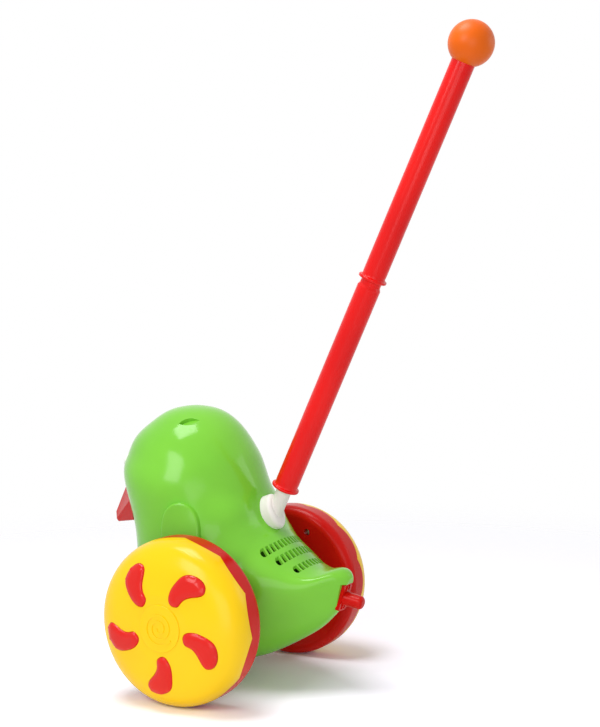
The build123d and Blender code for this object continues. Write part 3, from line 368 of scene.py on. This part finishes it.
def pillow(name, crest, side):
    """Pillows a copy of a petal plate. side is 1 on the left and -1 on the right."""
    plate = bmesh.new()
    plate.from_mesh(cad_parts[name].data)
    bmesh.ops.remove_doubles(plate, verts=plate.verts, dist=merge_distance)
    plate.normal_update()
    wall_points = fall_towards_walls(plate, crest, side)
    for edge in plate.edges:
        edge.smooth = len(edge.link_faces) == 2 and edge.calc_face_angle() < crease
    for face in plate.faces:
        face.smooth = True
    mesh = bpy.data.meshes.new(name + "_pillowed")
    plate.to_mesh(mesh)
    plate.free()
    mesh.materials.clear()
    mesh.materials.append(finishes["poppy_red_plastic"])
    piece = bpy.data.objects.new(name + "_pillowed", mesh)
    bpy.context.collection.objects.link(piece)
    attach(piece, "wheel_set")
    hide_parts(name)
    print(name, "pillowed from", wall_points, "wall points")


pillow("petal_insert_left", left_profile, 1)
pillow("petal_insert_right", right_profile, -1)

# %% [markdown]
# The floor is a wide pale sheet of paper. A studio would curve it up behind the toy to hide the
# horizon. Here the paper fades into the white of the studio instead, so it can lie level.

# %% Lay the floor
floor_reach = 4.0
floor_mesh = bpy.data.meshes.new("studio_floor")
floor = bpy.data.objects.new("studio_floor", floor_mesh)
bpy.context.collection.objects.link(floor)
sheet = bmesh.new()
bmesh.ops.create_grid(sheet, x_segments=1, y_segments=1, size=floor_reach)
sheet.to_mesh(floor_mesh)
sheet.free()
print("the floor reaches", max(vertex.co.x for vertex in floor_mesh.vertices), "m to each side")

# %% [markdown]
# The paper is brightened towards blue, as white paper is, which offsets the yellow and green that
# the toy throws on it. Only the camera sees the brighter white. The light that the paper throws
# back at the toy comes from the plain one, or the toy would be lit too strongly from below.

# %% Colour the paper
plain_white = (0.96, 0.96, 0.96, 1)
seen_white = (1.18, 1.16, 1.27, 1)
paper_roughness = 0.9
paper_shine = 0.1

paper, tree, shader = blank("pale_paper")
path = tree.nodes.new("ShaderNodeLightPath")
whiteness = tree.nodes.new("ShaderNodeValToRGB")
whiteness.color_ramp.elements[0].color = plain_white
whiteness.color_ramp.elements[1].color = seen_white
tree.links.new(path.outputs["Is Camera Ray"], whiteness.inputs["Fac"])
tree.links.new(whiteness.outputs["Color"], shader.inputs["Base Color"])
shader.inputs["Roughness"].default_value = paper_roughness
shader.inputs["Specular IOR Level"].default_value = paper_shine
print("the camera sees the paper as", seen_white[:3])

# %% [markdown]
# Close to the toy the paper takes the soft shadow, and further out it turns clear, step by step,
# until only the white of the studio is left. The fade reads the distance from the middle.

# %% Fade the paper out
fade_start = 0.35
fade_end = 1.1

where = tree.nodes.new("ShaderNodeTexCoord")
distance = vector_math(tree, "LENGTH", where.outputs["Object"])
fade = tree.nodes.new("ShaderNodeMapRange")
fade.interpolation_type = "SMOOTHSTEP"
fade.inputs["From Min"].default_value = fade_start
fade.inputs["From Max"].default_value = fade_end
clear = tree.nodes.new("ShaderNodeBsdfTransparent")
mix = tree.nodes.new("ShaderNodeMixShader")
tree.links.new(distance, fade.inputs["Value"])
tree.links.new(fade.outputs["Result"], mix.inputs["Fac"])
tree.links.new(shader.outputs["BSDF"], mix.inputs[1])
tree.links.new(clear.outputs["BSDF"], mix.inputs[2])
tree.links.new(mix.outputs["Shader"], tree.nodes["Material Output"].inputs["Surface"])
lay_out(tree)
floor_mesh.materials.append(paper)
print("the paper fades out from", fade_start, "to", fade_end, "m")

# %% [markdown]
# The studio is a white tent. What the camera sees of it, straight or in a reflection, is white,
# while the light it throws on the toy is set apart, so that colours render as they are. Taking the
# highest of the three kinds of ray says whether the tent is seen in any of these ways.

# %% Hang the white tent
tent_seen = 1.0
tent_light = 0.4

world = bpy.data.worlds.new("white_tent")
bpy.context.scene.world = world
world.use_nodes = True
tree = world.node_tree
seen = tree.nodes["Background"]
light = tree.nodes.new("ShaderNodeBackground")
for background, strength in ((seen, tent_seen), (light, tent_light)):
    background.inputs["Color"].default_value = (1, 1, 1, 1)
    background.inputs["Strength"].default_value = strength
path = tree.nodes.new("ShaderNodeLightPath")
in_view = path.outputs["Is Camera Ray"]
for kind in ("Is Transmission Ray", "Is Glossy Ray"):
    highest = tree.nodes.new("ShaderNodeMath")
    highest.operation = "MAXIMUM"
    tree.links.new(in_view, highest.inputs[0])
    tree.links.new(path.outputs[kind], highest.inputs[1])
    in_view = highest.outputs["Value"]
choose = tree.nodes.new("ShaderNodeMixShader")
tree.links.new(in_view, choose.inputs["Fac"])
tree.links.new(light.outputs["Background"], choose.inputs[1])
tree.links.new(seen.outputs["Background"], choose.inputs[2])
tree.links.new(choose.outputs["Shader"], tree.nodes["World Output"].inputs["Surface"])
lay_out(tree)
print("the tent shows with a strength of", tent_seen, "and lights with", tent_light)

# %% [markdown]
# Four softboxes shape the toy. The key stands where its mirror image falls on the bird's side as in
# the photograph. One hangs overhead, a wide one stands beside the camera, and a weak one stands
# behind, on the toy's right. A small lamp would throw hard shadows, so all of them are wide.

# %% Set up the softboxes
middle = Vector((0.0, 0.0, 0.2))
softboxes = [
    # name, place, width in metres, power in watts
    ("key_softbox", (0.18, 1.43, 1.03), 0.7, 9),
    ("top_softbox", (0.28, 0.3, 1.9), 0.8, 18),
    ("fill_softbox", (-1.0, 1.7, 0.35), 1.2, 9),
    ("back_softbox", (-1.2, -0.85, 0.75), 0.6, 2),
]
for name, place, width, power in softboxes:
    lamp = bpy.data.lights.new(name, "AREA")
    lamp.shape = "SQUARE"
    lamp.size = width
    lamp.energy = power
    holder = bpy.data.objects.new(name, lamp)
    holder.location = place
    holder.rotation_euler = (middle - Vector(place)).to_track_quat("-Z", "Y").to_euler()
    bpy.context.collection.objects.link(holder)
print("set up", len(softboxes), "softboxes")

# %% [markdown]
# The camera stands behind the bird on its left, a little above its back. Its place, its lens and
# its slight roll were fitted to the outlines of both wheels in the photograph. Its turn is built
# from three directions that are square to each other: right, up and back.

# %% Place the camera
lens = 68.77
sensor_width = 36.0
nearest_seen = 0.01
camera_place = (-0.6291, 1.11069, 0.37269)
back = Vector((-0.48546, 0.87233, 0.05804)).normalized()
roll = radians(-0.33)

camera = bpy.data.cameras.new("camera")
camera.lens = lens
camera.sensor_width = sensor_width
camera.clip_start = nearest_seen
stand = bpy.data.objects.new("camera", camera)
bpy.context.collection.objects.link(stand)
right = Vector((0, 0, 1)).cross(back).normalized()
up = back.cross(right)
rolled_right = right * cos(roll) + up * sin(roll)
rolled_up = up * cos(roll) - right * sin(roll)
turn = Matrix((rolled_right, rolled_up, back)).transposed().to_4x4()
stand.matrix_world = Matrix.Translation(camera_place) @ turn
bpy.context.scene.camera = stand
bpy.context.scene.view_settings.view_transform = "Standard"
print("the camera looks from", camera_place, "with a lens of", lens, "mm")
